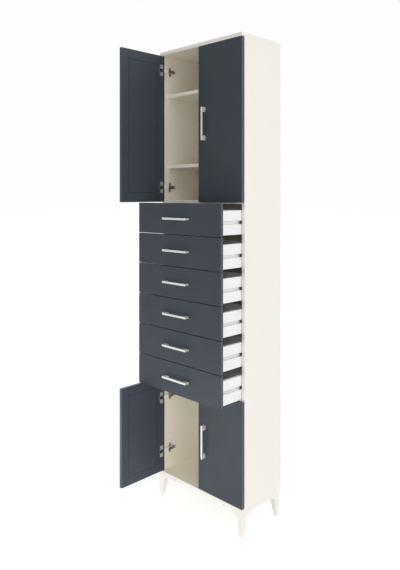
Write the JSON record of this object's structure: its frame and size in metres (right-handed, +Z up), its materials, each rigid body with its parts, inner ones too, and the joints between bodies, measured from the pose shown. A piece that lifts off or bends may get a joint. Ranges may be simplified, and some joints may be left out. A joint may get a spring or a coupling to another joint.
{
  "type": "tall cupboard",
  "caption": "Tall narrow bathroom cupboard on tapered legs, with paired doors above and below a stack of drawers on ball runners, and bridge handles.",
  "frame": {"origin": "on the floor, under the middle of the carcass's footprint", "axes": "+X to the right seen from the front, +Y to the back, +Z up"},
  "size_m": [0.6078, 0.5793, 2.4],
  "materials": {
    "cream_board": "satin cream melamine on particle board",
    "slate_board": "matt slate grey foil on both faces and edges",
    "white_board": "smooth white foil",
    "satin_nickel": "satin nickel plate",
    "hinge_steel": "nickel-plated pressed steel",
    "runner_zinc": "bright zinc plate",
    "beech_wood": "plain turned beech dowels",
    "white_plastic": "moulded white shelf supports",
    "cage_plastic": "dark moulded cage"
  },
  "bodies": {
    "carcass": {"top_board": "cream_board", "bottom_board": "cream_board", "side_left": "cream_board", "side_right": "cream_board", "divider_upper": "cream_board", "divider_lower": "cream_board", "back_panel": "cream_board", "shelf_high": "cream_board", "shelf_low": "cream_board", "shelf_pins": "white_plastic", "leg_front_left": "cream_board", "leg_front_right": "cream_board", "leg_back_left": "cream_board", "leg_back_right": "cream_board", "dowels": "beech_wood", "hinge_plates": "hinge_steel", "hinge_arms": "hinge_steel", "cabinet_rails": "runner_zinc"},
    "door_upper_left": {"door_upper_left": "slate_board", "handle_upper_left": "satin_nickel", "hinge_cups_upper_left": "hinge_steel"},
    "door_upper_right": {"door_upper_right": "slate_board", "handle_upper_right": "satin_nickel", "hinge_cups_upper_right": "hinge_steel"},
    "door_lower_left": {"door_lower_left": "slate_board", "handle_lower_left": "satin_nickel", "hinge_cups_lower_left": "hinge_steel"},
    "door_lower_right": {"door_lower_right": "slate_board", "handle_lower_right": "satin_nickel", "hinge_cups_lower_right": "hinge_steel"},
    "drawer_1": {"drawer_1_front": "slate_board", "drawer_1_box": "white_board", "drawer_1_handle": "satin_nickel", "drawer_1_rails": "runner_zinc"},
    "drawer_2": {"drawer_2_front": "slate_board", "drawer_2_box": "white_board", "drawer_2_handle": "satin_nickel", "drawer_2_rails": "runner_zinc"},
    "drawer_3": {"drawer_3_front": "slate_board", "drawer_3_box": "white_board", "drawer_3_handle": "satin_nickel", "drawer_3_rails": "runner_zinc"},
    "drawer_4": {"drawer_4_front": "slate_board", "drawer_4_box": "white_board", "drawer_4_handle": "satin_nickel", "drawer_4_rails": "runner_zinc"},
    "drawer_5": {"drawer_5_front": "slate_board", "drawer_5_box": "white_board", "drawer_5_handle": "satin_nickel", "drawer_5_rails": "runner_zinc"},
    "drawer_6": {"drawer_6_front": "slate_board", "drawer_6_box": "white_board", "drawer_6_handle": "satin_nickel", "drawer_6_rails": "runner_zinc"},
    "cages_1": {"ball_cages_1": "cage_plastic"},
    "cages_2": {"ball_cages_2": "cage_plastic"},
    "cages_3": {"ball_cages_3": "cage_plastic"},
    "cages_4": {"ball_cages_4": "cage_plastic"},
    "cages_5": {"ball_cages_5": "cage_plastic"},
    "cages_6": {"ball_cages_6": "cage_plastic"}
  },
  "joints": [
    {"name": "hinge_upper_left", "type": "hinge", "parent": "carcass", "child": "door_upper_left", "pos_m": [-0.2848, -0.147, 1.984], "axis": [0, 0, -1], "range_deg": [-90, 15]},
    {"name": "hinge_upper_right", "type": "hinge", "parent": "carcass", "child": "door_upper_right", "pos_m": [0.2848, -0.147, 1.984], "axis": [0, 0, 1], "range_deg": [0, 105]},
    {"name": "hinge_lower_left", "type": "hinge", "parent": "carcass", "child": "door_lower_left", "pos_m": [-0.2848, -0.147, 0.385], "axis": [0, 0, -1], "range_deg": [-90, 15]},
    {"name": "hinge_lower_right", "type": "hinge", "parent": "carcass", "child": "door_lower_right", "pos_m": [0.2848, -0.147, 0.385], "axis": [0, 0, 1], "range_deg": [0, 105]},
    {"name": "runner_1", "type": "slide", "parent": "carcass", "child": "drawer_1", "axis": [0, -1, 0], "range_m": [-0.147, 0.043]},
    {"name": "runner_2", "type": "slide", "parent": "carcass", "child": "drawer_2", "axis": [0, -1, 0], "range_m": [-0.147, 0.043]},
    {"name": "runner_3", "type": "slide", "parent": "carcass", "child": "drawer_3", "axis": [0, -1, 0], "range_m": [-0.147, 0.043]},
    {"name": "runner_4", "type": "slide", "parent": "carcass", "child": "drawer_4", "axis": [0, -1, 0], "range_m": [-0.147, 0.043]},
    {"name": "runner_5", "type": "slide", "parent": "carcass", "child": "drawer_5", "axis": [0, -1, 0], "range_m": [-0.147, 0.043]},
    {"name": "runner_6", "type": "slide", "parent": "carcass", "child": "drawer_6", "axis": [0, -1, 0], "range_m": [-0.147, 0.043]},
    {"name": "cage_travel_1", "type": "slide", "parent": "carcass", "child": "cages_1", "axis": [0, -1, 0], "range_m": [-0.0735, 0.0215]},
    {"name": "cage_travel_2", "type": "slide", "parent": "carcass", "child": "cages_2", "axis": [0, -1, 0], "range_m": [-0.0735, 0.0215]},
    {"name": "cage_travel_3", "type": "slide", "parent": "carcass", "child": "cages_3", "axis": [0, -1, 0], "range_m": [-0.0735, 0.0215]},
    {"name": "cage_travel_4", "type": "slide", "parent": "carcass", "child": "cages_4", "axis": [0, -1, 0], "range_m": [-0.0735, 0.0215]},
    {"name": "cage_travel_5", "type": "slide", "parent": "carcass", "child": "cages_5", "axis": [0, -1, 0], "range_m": [-0.0735, 0.0215]},
    {"name": "cage_travel_6", "type": "slide", "parent": "carcass", "child": "cages_6", "axis": [0, -1, 0], "range_m": [-0.0735, 0.0215]}
  ],
  "couplings": [
    {"joint": "cage_travel_1", "follows": "runner_1", "ratio": 0.5},
    {"joint": "cage_travel_2", "follows": "runner_2", "ratio": 0.5},
    {"joint": "cage_travel_3", "follows": "runner_3", "ratio": 0.5},
    {"joint": "cage_travel_4", "follows": "runner_4", "ratio": 0.5},
    {"joint": "cage_travel_5", "follows": "runner_5", "ratio": 0.5},
    {"joint": "cage_travel_6", "follows": "runner_6", "ratio": 0.5}
  ]
}
